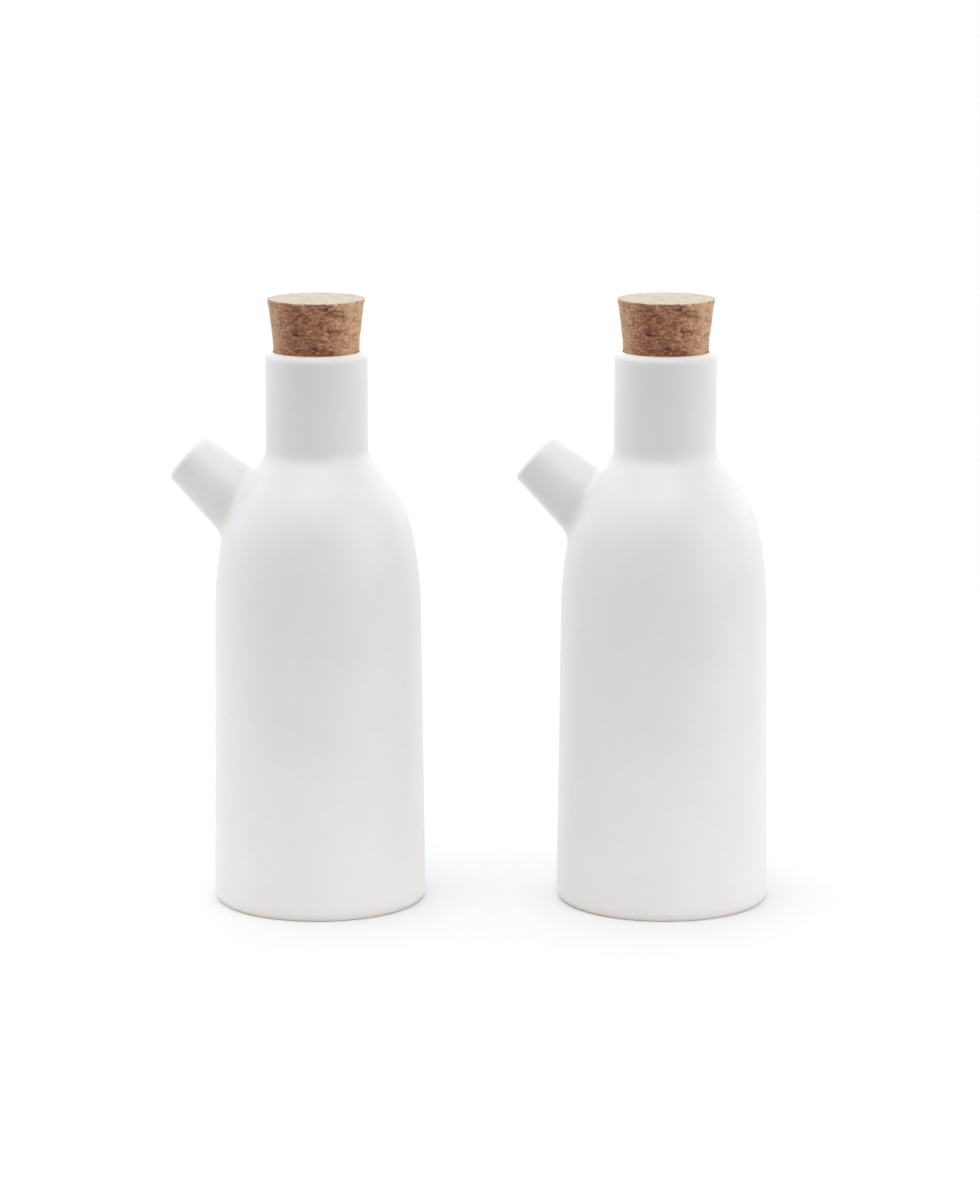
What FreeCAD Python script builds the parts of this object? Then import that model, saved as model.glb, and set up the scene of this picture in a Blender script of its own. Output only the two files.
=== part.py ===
import FreeCAD, Part
import math
import os
import Sketcher

# A pair of porcelain cruets that stand side by side, each closed by a tapered cork.
# Each bottle is a slip-cast shell: a slightly tapering body on a foot ring, a shoulder that
# runs in two arcs and a straight slope into a short neck, and a straight conical spout.
# Millimetres, +Z up, z = 0 at the table, the spouts point to -X and a little to +Y.

# Driving dimensions: alias, value (mm, or degrees where the name ends in _angle), meaning.
DIMENSIONS = [
    ("height", 190.0, "table to the bottle's rim"),
    ("spacing", 118.0, "between the two bottles' axes"),
    ("shift", 6.93, "both bottles along X, so that the whole pair is centred"),
    ("turn_angle", 170.0, "each bottle about its axis, from +X to where its spout points"),
    ("foot_radius", 34.6, "outside of the foot ring, at the table"),
    ("foot_height", 4.0, "top of the round between foot and side"),
    ("side_radius", 36.33, "outside of the body just above the foot"),
    ("shoulder_start", 101.5, "height at which the side ends"),
    ("shoulder_radius", 35.12, "outside of the body there"),
    ("shoulder_arc", 133.6, "radius of the first, flat arc of the shoulder"),
    ("shoulder_turn", 127.2, "height at which the first arc meets the second"),
    ("shoulder_round", 44.8, "radius of the second, round arc of the shoulder"),
    ("slope_angle", 36.5, "straight slope below the neck, from the vertical"),
    ("neck_arc", 7.7, "radius of the hollow arc between slope and neck"),
    ("neck_radius", 17.25, "outside of the neck"),
    ("wall", 3.0, "thickness of the shell"),
    ("mouth_radius", 14.6, "inside of the neck"),
    ("floor", 5.8, "height of the cavity's floor"),
    ("floor_arc", 9.0, "height of the round between floor and side, inside"),
    ("recess_radius", 31.0, "inside of the foot ring, at the table"),
    ("recess_depth", 1.8, "hollow inside the foot ring"),
    ("recess_slant", 1.5, "how much narrower the hollow is at its top"),
    ("spout_reach", 45.3, "bottle's axis to the centre of the spout's end"),
    ("spout_height", 152.75, "table to the centre of the spout's end"),
    ("spout_rise_angle", 40.1, "spout above the horizontal"),
    ("spout_radius", 9.4, "outside of the spout at its end"),
    ("spout_taper_angle", 6.7, "half of the spout's cone angle"),
    ("spout_length", 42.0, "spout's cone, most of it inside the body"),
    ("spout_wall", 3.0, "thickness of the spout"),
    ("joint_round", 4.0, "round where the spout meets the shoulder"),
    ("spout_outer_round", 1.8, "outer round of the spout's lip"),
    ("spout_inner_round", 0.9, "inner round of the spout's lip"),
    ("rim_outer_round", 1.2, "outer round of the rim"),
    ("rim_inner_round", 0.7, "inner round of the rim"),
    ("foot_round", 0.6, "rounds of the foot ring"),
    ("cork_length", 30.0, "whole length of a cork"),
    ("cork_top_radius", 16.5, "cork at its top"),
    ("cork_foot_radius", 13.1, "cork at its lower end"),
    ("cork_inserted", 12.5, "how far a cork goes into the mouth"),
    ("cork_edge", 0.6, "bevel of the cork's edges"),
]
BOTTLES = {"left": -1, "right": 1}  # side of the pair: sign of its X
MIDDLE_POINT = (-1, 1)  # a sketch's own origin: geometry number and point number
START, END = 1, 2  # the point numbers of a line or an arc
ACROSS_AXIS, UP_AXIS = -1, -2  # the geometry numbers of a sketch's own two axes

# How an edge is found again on a finished shape, in millimetres.
SAME_PLACE = 0.01  # two points or radii count as equal
NEAR_CONE = 0.05  # an edge that follows the spout's cone stays this close to it
CLEAR_OF_TIP = 5.0  # the joint with the shoulder starts at least this far from the spout's end
EDGE_SAMPLES = 9  # points looked at along an edge


def make_sheet(doc):
    sheet = doc.addObject("Spreadsheet::Sheet", "Sizes")
    for row, (alias, value, meaning) in enumerate(DIMENSIONS, start=1):
        sheet.set(f"A{row}", meaning)
        sheet.set(f"B{row}", str(value))
        sheet.setAlias(f"B{row}", alias)
    doc.recompute()
    return sheet


def new_sketch(body, name):
    """An empty sketch on the body's own XZ plane: sketch x is the radius, sketch y the height."""
    sketch = body.newObject("Sketcher::SketchObject", name)
    planes = [plane for plane in body.Origin.OriginFeatures if plane.Role == "XZ_Plane"]
    sketch.AttachmentSupport = [(planes[0], "")]
    sketch.MapMode = "FlatFace"
    return sketch


def add_line(sketch, start, end):
    points = [FreeCAD.Vector(x, y, 0) for x, y in (start, end)]
    return sketch.addGeometry(Part.LineSegment(*points), False)


def add_arc(sketch, centre, radius, first_angle, last_angle):
    circle = Part.Circle(FreeCAD.Vector(*centre, 0), FreeCAD.Vector(0, 0, 1), radius)
    arc = Part.ArcOfCircle(circle, math.radians(first_angle), math.radians(last_angle))
    return sketch.addGeometry(arc, False)


def relate(sketch, kind, *places):
    sketch.addConstraint(Sketcher.Constraint(kind, *places))


def drive(sketch, name, kind, places, expression, start_value):
    """Adds a named dimension and binds it to the sheet."""
    index = sketch.addConstraint(Sketcher.Constraint(kind, *places, start_value))
    sketch.renameConstraint(index, name)
    sketch.setExpression(f"Constraints.{name}", expression)


def draw_bottle_outline(sketch, size, expressions):
    """Half of a bottle's section: floor, round, side, two shoulder arcs, slope, hollow arc, neck.

    The outside and the cavity are the same outline with other sizes. `expressions` gives each
    size's expression, and `size` evaluates it for the first, rough drawing.
    """
    e = expressions
    v = {name: size(expression) for name, expression in e.items()}
    slope = v["slope"]
    centre_x = v["shoulder_radius"] - v["shoulder_arc"]
    turn = math.degrees(math.asin((v["shoulder_turn"] - v["shoulder_start"]) / v["shoulder_arc"]))
    turn_x = centre_x + v["shoulder_arc"] * math.cos(math.radians(turn))
    round_x = turn_x - v["shoulder_round"] * math.cos(math.radians(turn))
    round_y = v["shoulder_turn"] - v["shoulder_round"] * math.sin(math.radians(turn))
    slope_x = round_x + v["shoulder_round"] * math.cos(math.radians(slope))
    slope_y = round_y + v["shoulder_round"] * math.sin(math.radians(slope))
    foot_x = v["neck_radius"] + v["neck_arc"] * (1 - math.cos(math.radians(slope)))
    foot_y = slope_y + (slope_x - foot_x) / math.tan(math.radians(slope))
    neck_y = foot_y + v["neck_arc"] * math.sin(math.radians(slope))
    corner = v["corner_height"] - v["bottom"]
    lean = math.degrees(math.atan2(v["side_radius"] - v["floor_radius"], corner))
    corner_arc = corner / math.sin(math.radians(2 * lean))

    floor = add_line(sketch, (0, v["bottom"]), (v["floor_radius"], v["bottom"]))
    foot = add_arc(sketch, (v["side_radius"] - corner_arc, v["corner_height"]), corner_arc, -2 * lean, 0)
    side_start = (v["side_radius"], v["corner_height"])
    side = add_line(sketch, side_start, (v["shoulder_radius"], v["shoulder_start"]))
    flat = add_arc(sketch, (centre_x, v["shoulder_start"]), v["shoulder_arc"], 0, turn)
    shoulder = add_arc(sketch, (round_x, round_y), v["shoulder_round"], turn, slope)
    incline = add_line(sketch, (slope_x, slope_y), (foot_x, foot_y))
    hollow_centre = (v["neck_radius"] + v["neck_arc"], neck_y)
    hollow = add_arc(sketch, hollow_centre, v["neck_arc"], 180, 180 + slope)
    neck = add_line(sketch, (v["neck_radius"], neck_y), (v["neck_radius"], v["top"]))
    lid = add_line(sketch, (v["neck_radius"], v["top"]), (0, v["top"]))
    axis = add_line(sketch, (0, v["top"]), (0, v["bottom"]))

    relate(sketch, "Coincident", floor, END, foot, START)
    relate(sketch, "Tangent", foot, END, side, START)
    relate(sketch, "Tangent", side, END, flat, START)
    relate(sketch, "Tangent", flat, END, shoulder, START)
    relate(sketch, "Tangent", shoulder, END, incline, START)
    relate(sketch, "Tangent", incline, END, hollow, END)
    relate(sketch, "Tangent", hollow, START, neck, START)
    relate(sketch, "Coincident", neck, END, lid, START)
    relate(sketch, "Coincident", lid, END, axis, START)
    relate(sketch, "Coincident", axis, END, floor, START)
    relate(sketch, "Horizontal", floor)
    relate(sketch, "Vertical", neck)
    relate(sketch, "Horizontal", lid)
    relate(sketch, "PointOnObject", axis, START, UP_AXIS)
    relate(sketch, "PointOnObject", axis, END, UP_AXIS)

    across = (
        ("floor_radius", floor, END), ("side_radius", side, START),
        ("shoulder_radius", side, END), ("neck_radius", neck, START),
    )
    for name, line, point in across:
        drive(sketch, name, "DistanceX", (*MIDDLE_POINT, line, point), e[name], v[name])
    upward = (
        ("bottom", floor, END), ("corner_height", side, START), ("shoulder_start", side, END),
        ("shoulder_turn", flat, END), ("top", neck, END),
    )
    for name, line, point in upward:
        if v[name] == 0:
            relate(sketch, "PointOnObject", line, point, ACROSS_AXIS)
        else:
            drive(sketch, name, "DistanceY", (*MIDDLE_POINT, line, point), e[name], v[name])
    for name, arc in (("shoulder_arc", flat), ("shoulder_round", shoulder), ("neck_arc", hollow)):
        drive(sketch, name, "Radius", (arc,), e[name], v[name])
    drive(sketch, "slope", "Angle", (incline,), f"90 deg + ({e['slope']}) * 1 deg",
          math.radians(90 + slope))


def outside_expressions():
    return {
        "floor_radius": "Sizes.foot_radius", "bottom": "0",
        "side_radius": "Sizes.side_radius", "corner_height": "Sizes.foot_height",
        "shoulder_radius": "Sizes.shoulder_radius", "shoulder_start": "Sizes.shoulder_start",
        "shoulder_arc": "Sizes.shoulder_arc", "shoulder_turn": "Sizes.shoulder_turn",
        "shoulder_round": "Sizes.shoulder_round", "slope": "Sizes.slope_angle",
        "neck_arc": "Sizes.neck_arc", "neck_radius": "Sizes.neck_radius", "top": "Sizes.height",
    }


def cavity_expressions():
    """The outside moved in by the wall, except for its floor and its neck."""
    cavity = outside_expressions()
    for name in ("side_radius", "shoulder_radius", "shoulder_arc", "shoulder_round"):
        cavity[name] += " - Sizes.wall"
    cavity["floor_radius"] = "Sizes.side_radius - Sizes.wall - Sizes.floor_arc"
    cavity["bottom"] = "Sizes.floor"
    cavity["corner_height"] = "Sizes.floor + Sizes.floor_arc"
    cavity["neck_arc"] = "Sizes.neck_arc + Sizes.wall"
    cavity["neck_radius"] = "Sizes.mouth_radius"
    return cavity


def draw_cone_outline(sketch, size, radius):
    """Half of a cone's section about the spout's slanted axis, which is construction line 0."""
    reach = size("Sizes.spout_reach")
    rise = size("Sizes.spout_height")
    angle = math.radians(size("Sizes.spout_rise_angle"))
    along = FreeCAD.Vector(math.cos(angle), math.sin(angle), 0)
    below = FreeCAD.Vector(math.sin(angle), -math.cos(angle), 0)
    widening = math.tan(math.radians(size("Sizes.spout_taper_angle")))
    tip_radius = size(radius)
    base_radius = tip_radius + size("Sizes.spout_length") * widening
    tip = FreeCAD.Vector(reach, rise, 0)
    base = tip - along * size("Sizes.spout_length")
    corners = [tip, tip + below * tip_radius, base + below * base_radius, base]

    axis = sketch.addGeometry(Part.LineSegment(tip, base), True)
    sides = []
    for corner, following in zip(corners, corners[1:] + corners[:1]):
        sides.append(add_line(sketch, (corner.x, corner.y), (following.x, following.y)))
    tip_side, cone_side, base_side, axis_side = sides
    for side, following in zip(sides, sides[1:] + sides[:1]):
        relate(sketch, "Coincident", side, END, following, START)
    relate(sketch, "Coincident", axis, START, tip_side, START)
    relate(sketch, "Coincident", axis, END, axis_side, START)
    relate(sketch, "Perpendicular", tip_side, axis)
    relate(sketch, "Perpendicular", base_side, axis)

    drive(sketch, "reach", "DistanceX", (*MIDDLE_POINT, axis, START), "Sizes.spout_reach", reach)
    drive(sketch, "rise", "DistanceY", (*MIDDLE_POINT, axis, START), "Sizes.spout_height", rise)
    drive(sketch, "lean", "Angle", (axis,), "180 deg + Sizes.spout_rise_angle * 1 deg",
          math.pi + angle)
    drive(sketch, "length", "Distance", (axis,), "Sizes.spout_length",
          size("Sizes.spout_length"))
    drive(sketch, "tip_radius", "Distance", (tip_side,), radius, tip_radius)
    widened = f"{radius} + Sizes.spout_length * tan(Sizes.spout_taper_angle * 1 deg)"
    drive(sketch, "base_radius", "Distance", (base_side,), widened, base_radius)


def draw_frustum_outline(sketch, size, lower, upper, length):
    """Half of a frustum's section, from the sketch's origin upwards.

    `lower` and `upper` are the expressions of its two radii, and `length` that of its height.
    """
    lower_radius, upper_radius, height = size(lower), size(upper), size(length)
    corners = [(0, 0), (lower_radius, 0), (upper_radius, height), (0, height)]
    sides = []
    for corner, following in zip(corners, corners[1:] + corners[:1]):
        sides.append(add_line(sketch, corner, following))
    for side, following in zip(sides, sides[1:] + sides[:1]):
        relate(sketch, "Coincident", side, END, following, START)
    base, flank, lid, axis = sides
    relate(sketch, "Coincident", base, START, *MIDDLE_POINT)
    relate(sketch, "Horizontal", base)
    relate(sketch, "Horizontal", lid)
    relate(sketch, "Vertical", axis)
    drive(sketch, "lower", "DistanceX", (*MIDDLE_POINT, base, END), lower, lower_radius)
    drive(sketch, "upper", "DistanceX", (*MIDDLE_POINT, flank, END), upper, upper_radius)
    drive(sketch, "length", "DistanceY", (*MIDDLE_POINT, flank, END), length, height)


def spin(body, kind, sketch, axis):
    """A full turn of a sketch about one of its axes, as a Revolution or a Groove."""
    before = body.Shape.Volume if body.Tip else 0.0
    feature = body.newObject(f"PartDesign::{kind}", f"{sketch.Name}_{kind.lower()}")
    feature.Profile = sketch
    feature.ReferenceAxis = (sketch, [axis])
    feature.Angle = 360.0
    sketch.Visibility = False
    body.Document.recompute()
    grows = body.Shape.Volume > before
    if grows != (kind == "Revolution"):
        raise RuntimeError(f"{feature.Name} changed nothing, or the wrong way")
    return feature


def round_edges(body, kind, name, wanted, expression):
    """A Fillet or Chamfer on the edges of the body's last feature for which `wanted` is true."""
    base = body.Tip
    edges = [f"Edge{number}" for number, edge in enumerate(base.Shape.Edges, start=1) if wanted(edge)]
    if not edges:
        raise RuntimeError(f"{name} finds no edge")
    feature = body.newObject(f"PartDesign::{kind}", name)
    feature.Base = (base, edges)
    feature.setExpression("Radius" if kind == "Fillet" else "Size", expression)
    body.Document.recompute()
    return feature


def ring_at(radius, level):
    """True for a horizontal circle of this radius at this height."""
    def wanted(edge):
        box = edge.BoundBox
        flat = box.ZLength < SAME_PLACE and abs(box.ZMin - level) < SAME_PLACE
        fits = abs(box.XMax - radius) < SAME_PLACE and abs(box.XMin + radius) < SAME_PLACE
        return flat and fits
    return wanted


def spout_frame(size):
    angle = math.radians(size("Sizes.spout_rise_angle"))
    tip = FreeCAD.Vector(size("Sizes.spout_reach"), 0, size("Sizes.spout_height"))
    return tip, FreeCAD.Vector(math.cos(angle), 0, math.sin(angle))


def at_spout_end(size, radius):
    """True for the circle of this radius on the spout's end face."""
    tip, along = spout_frame(size)

    def wanted(edge):
        arms = [point - tip for point in edge.discretize(EDGE_SAMPLES)]
        flat = all(abs(arm.dot(along)) < SAME_PLACE for arm in arms)
        return flat and all(abs(arm.Length - radius) < SAME_PLACE for arm in arms)
    return wanted


def where_spout_meets_shoulder(size):
    """True for the curved edges that lie on the spout's outer cone, away from its end."""
    tip, along = spout_frame(size)
    widening = math.tan(math.radians(size("Sizes.spout_taper_angle")))

    def off_cone(point):
        """How far a point lies off the cone, and how far behind the spout's end."""
        back = -(point - tip).dot(along)
        away = (point - tip + along * back).Length
        return away - (size("Sizes.spout_radius") + back * widening), back

    def wanted(edge):
        places = [off_cone(point) for point in edge.discretize(EDGE_SAMPLES)]
        on_cone = all(abs(gap) < NEAR_CONE for gap, back in places)
        clear_of_tip = min(back for gap, back in places) > CLEAR_OF_TIP
        return on_cone and clear_of_tip and edge.Curve.TypeId != "Part::GeomLine"
    return wanted


def make_bottle(doc, side, sign, size):
    body = doc.addObject("PartDesign::Body", f"bottle_{side}")
    body.Label = f"bottle_{side}"

    outside = new_sketch(body, f"{side}_outside")
    draw_bottle_outline(outside, size, outside_expressions())
    spin(body, "Revolution", outside, "V_Axis")
    spout = new_sketch(body, f"{side}_spout")
    draw_cone_outline(spout, size, "Sizes.spout_radius")
    spin(body, "Revolution", spout, "Axis0")
    round_edges(body, "Fillet", f"{side}_joint", where_spout_meets_shoulder(size), "Sizes.joint_round")

    cavity = new_sketch(body, f"{side}_cavity")
    draw_bottle_outline(cavity, size, cavity_expressions())
    spin(body, "Groove", cavity, "V_Axis")
    bore = new_sketch(body, f"{side}_bore")
    draw_cone_outline(bore, size, "(Sizes.spout_radius - Sizes.spout_wall)")
    spin(body, "Groove", bore, "Axis0")
    recess = new_sketch(body, f"{side}_recess")
    draw_frustum_outline(recess, size, "Sizes.recess_radius",
                         "Sizes.recess_radius - Sizes.recess_slant", "Sizes.recess_depth")
    spin(body, "Groove", recess, "V_Axis")

    height = size("Sizes.height")
    rim = ring_at(size("Sizes.neck_radius"), height)
    mouth = ring_at(size("Sizes.mouth_radius"), height)
    foot = ring_at(size("Sizes.foot_radius"), 0)
    hollow = ring_at(size("Sizes.recess_radius"), 0)
    round_edges(body, "Fillet", f"{side}_rim", rim, "Sizes.rim_outer_round")
    round_edges(body, "Fillet", f"{side}_mouth", mouth, "Sizes.rim_inner_round")
    round_edges(body, "Fillet", f"{side}_foot", lambda edge: foot(edge) or hollow(edge),
                "Sizes.foot_round")
    lip_radius = size("Sizes.spout_radius")
    bore_radius = size("Sizes.spout_radius - Sizes.spout_wall")
    round_edges(body, "Fillet", f"{side}_lip", at_spout_end(size, lip_radius),
                "Sizes.spout_outer_round")
    round_edges(body, "Fillet", f"{side}_bore_edge", at_spout_end(size, bore_radius),
                "Sizes.spout_inner_round")

    place(body, sign, "0", "Sizes.turn_angle")
    return body


def make_stopper(doc, side, sign, size):
    body = doc.addObject("PartDesign::Body", f"stopper_{side}")
    body.Label = f"stopper_{side}"
    outline = new_sketch(body, f"{side}_cork")
    draw_frustum_outline(outline, size, "Sizes.cork_foot_radius", "Sizes.cork_top_radius",
                         "Sizes.cork_length")
    spin(body, "Revolution", outline, "V_Axis")
    foot = ring_at(size("Sizes.cork_foot_radius"), 0)
    top = ring_at(size("Sizes.cork_top_radius"), size("Sizes.cork_length"))
    round_edges(body, "Chamfer", f"{side}_bevel", lambda edge: foot(edge) or top(edge),
                "Sizes.cork_edge")
    place(body, sign, "Sizes.height - Sizes.cork_inserted", "Sizes.turn_angle")
    return body


def place(body, sign, level, turn):
    """Puts a piece on its own side of the pair, at its height, turned about its axis."""
    # A rotation of no angle would forget its axis, so it starts at some angle.
    body.Placement.Rotation = FreeCAD.Rotation(FreeCAD.Vector(0, 0, 1), 90)
    body.setExpression("Placement.Rotation.Angle", turn)
    body.setExpression("Placement.Base.x", f"{sign} * Sizes.spacing / 2 + Sizes.shift")
    body.setExpression("Placement.Base.z", level)


def check(doc, pieces):
    for thing in doc.Objects:
        if {"Invalid", "Error"} & set(thing.State):
            raise RuntimeError(f"{thing.Name} failed: {thing.State}")
        if thing.TypeId == "Sketcher::SketchObject" and not thing.FullyConstrained:
            raise RuntimeError(f"{thing.Name} is not fully constrained")
    for piece in pieces:
        if piece.Shape.isNull() or not piece.Shape.isValid():
            raise RuntimeError(f"{piece.Label} has no valid shape")
        if len(piece.Shape.Solids) != 1:
            raise RuntimeError(f"{piece.Label} is not one solid")


def main():
    doc = FreeCAD.newDocument("cruet_set")
    sheet = make_sheet(doc)

    def size(expression):
        return float(sheet.evalExpression(expression))

    pieces = []
    for side, sign in BOTTLES.items():
        pieces.append(make_bottle(doc, side, sign, size))
        pieces.append(make_stopper(doc, side, sign, size))
    doc.recompute()
    check(doc, pieces)
    os.makedirs("parts", exist_ok=True)
    for piece in pieces:
        box = piece.Shape.BoundBox
        print(f"{piece.Label}: {piece.Shape.Volume / 1000:.1f} ml of material, "
              f"x {box.XMin:.2f} to {box.XMax:.2f}, y {box.YMin:.2f} to {box.YMax:.2f}, "
              f"z {box.ZMin:.2f} to {box.ZMax:.2f}")
        piece.Shape.exportStep(f"parts/{piece.Label}.step")


main()
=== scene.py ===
import math
import random

import bpy
import numpy as np
from mathutils import Matrix, Vector, noise


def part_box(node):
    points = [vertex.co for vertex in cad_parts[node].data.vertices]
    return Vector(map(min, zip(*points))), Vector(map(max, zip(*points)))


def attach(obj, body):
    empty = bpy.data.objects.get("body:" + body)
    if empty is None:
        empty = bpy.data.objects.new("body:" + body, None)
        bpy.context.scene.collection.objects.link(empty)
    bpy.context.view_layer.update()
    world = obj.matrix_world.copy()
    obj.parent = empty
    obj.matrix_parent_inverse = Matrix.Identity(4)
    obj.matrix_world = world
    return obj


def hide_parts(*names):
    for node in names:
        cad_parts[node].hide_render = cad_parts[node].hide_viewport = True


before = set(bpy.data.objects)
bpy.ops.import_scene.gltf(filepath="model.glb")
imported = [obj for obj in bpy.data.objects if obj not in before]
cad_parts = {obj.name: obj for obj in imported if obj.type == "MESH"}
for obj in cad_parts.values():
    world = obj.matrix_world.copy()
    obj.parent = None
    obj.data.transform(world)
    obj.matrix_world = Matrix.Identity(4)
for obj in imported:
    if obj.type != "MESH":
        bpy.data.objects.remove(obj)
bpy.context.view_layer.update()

# The bottle and the cork are made in millimetres, and MM turns them into metres. The floor, the
# camera and the light are in metres.
MM = 0.001
SIDES = ("left", "right")

# ---- the bottle's section -------------------------------------------------------------------
# Corners of half the section, from the middle of the underside round the outside, over the rim
# and down the inside to the middle of the floor: (radius, height, radius of the round there).
SECTION = [
    (0.0, 1.8, 0.0),
    (29.5, 1.8, 0.5),
    (31.0, 0.0, 0.6),
    (34.9, 0.0, 0.4),
    (36.37, 1.7, 4.4),
    (34.96, 114.5, 133.0),
    (30.28, 136.8, 44.5),
    (17.25, 154.42, 7.7),
    (17.25, 189.7, 2.35),
    (14.6, 189.7, 0.25),
    (14.6, 152.98, 10.7),
    (27.48, 135.57, 41.5),
    (31.96, 114.19, 129.0),
    (33.33, 5.8, 9.0),
    (0.0, 5.8, 0.0),
]
ROW = 1.4  # between the rows of the bottle's mesh
FINE = 0.05  # between the points of the section that the walls are looked up in
SEGMENTS = 160  # round the bottle
FEWEST_ARC_STEPS = 4
TOUCHING = 1e-3  # points closer than this are one
RIM_POINTS = 5  # of the fine section, just inside the rim's top, left out of the inner wall
SLOPE_REACH = 0.5  # along a wall to either side of where its slope is wanted

# ---- the spout ------------------------------------------------------------------------------
SPOUT_TURN = math.radians(170)  # where the spout points, from +X
SPOUT_END = Vector((45.3, 0.0, 152.75))  # centre of its end, in the plane of the spout
SPOUT_RISE = math.radians(40.1)
SPOUT_WIDENING = math.tan(math.radians(6.7))  # radius gained per millimetre back from the end
SPOUT_RADIUS = 9.4
BORE_RADIUS = 6.4
LIP_ROUND = 2.1
LIP_STEP = 0.35
BORE_ROUND = 0.8
BORE_STEP = 0.3
BEYOND_LIP = 20.0  # a length back from the end that is well past both rounds
# Radius of the round where the spout meets the body: above the spout, beside it and below it.
OUTER_JOINT = (2.6, 5.0, 6.5)
INNER_JOINT = (1.5, 1.5, 1.5)
# First, last and step of the lengths back from the end where a wall of the body is looked for.
WALL_SEARCH = (2, 45, 0.02)
DENSE_TURNS = 721  # round the spout, when its line on the wall is followed
HALF_PATCH = 24  # segments of the bottle in the patch round the spout, to either side of it
OUTER_PATCH = (111.0, 163.0)  # between these heights, outside
INNER_PATCH_MIDDLE = 134.0  # height of its middle row, inside
PATCH_RINGS = 8
JOINT_RINGS = 9
CONE_RINGS = 16

SPOUT_ALONG = np.array([math.cos(SPOUT_RISE), 0, math.sin(SPOUT_RISE)])
SPOUT_UP = np.array([-math.sin(SPOUT_RISE), 0, math.cos(SPOUT_RISE)])
SPOUT_ACROSS = np.array([0, 1.0, 0])


def round_corner(before, corner, after, radius, step):
    """Points of the arc that rounds a corner of a path in the plane."""
    here = np.array(corner[:2])
    to_before = np.array(before[:2]) - here
    to_after = np.array(after[:2]) - here
    to_before /= np.linalg.norm(to_before)
    to_after /= np.linalg.norm(to_after)
    opening = math.acos(np.clip(to_before @ to_after, -1, 1))
    turn = math.pi - opening
    reach = radius / math.tan(opening / 2)
    start = here + to_before * reach
    side = to_after - to_before * (to_after @ to_before)
    side /= np.linalg.norm(side)
    centre = start + side * radius
    count = max(FEWEST_ARC_STEPS, math.ceil(radius * turn / step))
    angles = np.linspace(0, turn, count + 1)[:, None]
    return centre - side * radius * np.cos(angles) - to_before * radius * np.sin(angles)


def rounded_path(corners, step):
    """A path through corners with arcs at them, as points about one step apart."""
    pieces = [
        round_corner(before, corner, after, corner[2], step)
        for before, corner, after in zip(corners, corners[1:], corners[2:])
    ]
    pieces.append(np.array([corners[-1][:2]]))
    points = [np.array(corners[0][:2])]
    for piece in pieces:
        start = points[-1]
        gap = np.linalg.norm(piece[0] - start)
        count = max(1, round(gap / step))
        for i in range(1, count):
            points.append(start + (piece[0] - start) * i / count)
        points.extend(piece if gap > TOUCHING else piece[1:])
    return np.array(points)


def unit(vectors):
    return vectors / np.linalg.norm(vectors, axis=-1, keepdims=True)


class Skin:
    """One wall of the bottle as a surface: angle round the axis and length along the section."""

    def __init__(self, section):
        if section[0, 1] > section[-1, 1]:
            section = section[::-1]
        self.radius = section[:, 0]
        self.height = section[:, 1]
        steps = np.linalg.norm(np.diff(section, axis=0), axis=1)
        self.length = np.concatenate([[0], np.cumsum(steps)])

    def point(self, angle, length):
        radius = np.interp(length, self.length, self.radius)
        height = np.interp(length, self.length, self.height)
        return np.stack([radius * np.cos(angle), radius * np.sin(angle), height], axis=-1)

    def outside_by(self, points):
        """How far points stand outside this wall, along the radius."""
        wall_radius = np.interp(points[..., 2], self.height, self.radius)
        return np.hypot(points[..., 0], points[..., 1]) - wall_radius

    def length_at(self, height):
        return np.interp(height, self.height, self.length)

    def nearest(self, points):
        """Angle and length of the places on this wall that are nearest to points."""
        across = np.hypot(points[:, 0], points[:, 1])[:, None] - self.radius
        up = points[:, 2][:, None] - self.height
        nearest = np.argmin(across**2 + up**2, axis=1)
        return np.arctan2(points[:, 1], points[:, 0]), self.length[nearest]

    def normal(self, angle, length):
        rise = self.point(angle, length + SLOPE_REACH) - self.point(angle, length - SLOPE_REACH)
        along = np.stack([-np.sin(angle), np.cos(angle), 0 * angle], axis=-1)
        return unit(np.cross(along, rise))


def bottle_walls():
    """The outer wall from the foot to the rim and the inner wall, as skins."""
    fine = rounded_path(SECTION, FINE)
    rim = int(np.argmax(fine[:, 1]))
    foot = int(np.argmax(fine[:, 0]))
    inside = fine[rim:]
    widest = int(np.argmax(inside[:, 0]))
    return Skin(fine[foot:rim]), Skin(inside[RIM_POINTS : widest + 1])


def spout_spoke(turn):
    """Unit vectors away from the spout's axis, at angles from its top line."""
    return np.cos(turn)[..., None] * SPOUT_UP + np.sin(turn)[..., None] * SPOUT_ACROSS


def spout_point(turn, back, radius):
    """Points beside the spout's axis, a length back from its end."""
    middle = np.array(SPOUT_END) - np.multiply.outer(back, SPOUT_ALONG)
    return middle + np.asarray(radius)[..., None] * spout_spoke(turn)


def cone_point(turn, back, end_radius):
    """Points on the spout or its bore, which widen back from their radius at the end."""
    return spout_point(turn, back, end_radius + back * SPOUT_WIDENING)


def meet(skin, turn, end_radius):
    """How far back from the end the lines of a cone meet a wall of the bottle."""
    back = np.arange(*WALL_SEARCH)
    shape = (len(turn), len(back))
    turns = np.broadcast_to(turn[:, None], shape)
    points = cone_point(turns, np.broadcast_to(back, shape), end_radius)
    inside = skin.outside_by(points) < 0
    return back[np.argmax(inside, axis=1)]


def turns_towards(skin, angle, length, end_radius):
    """Turns round the spout at which its line on the wall lies towards places on the wall."""
    dense = np.linspace(-math.pi, math.pi, DENSE_TURNS)
    line = cone_point(dense, meet(skin, dense, end_radius), end_radius)
    line_angle, line_length = skin.nearest(line)
    middle_length = (line_length.max() + line_length.min()) / 2
    middle_radius = np.interp(middle_length, skin.length, skin.radius)
    bearing = np.unwrap(np.arctan2(middle_radius * line_angle, line_length - middle_length))
    wanted = np.arctan2(middle_radius * angle, length - middle_length)
    order = np.argsort(bearing)
    return np.interp(wanted, bearing[order], dense[order])


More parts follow.
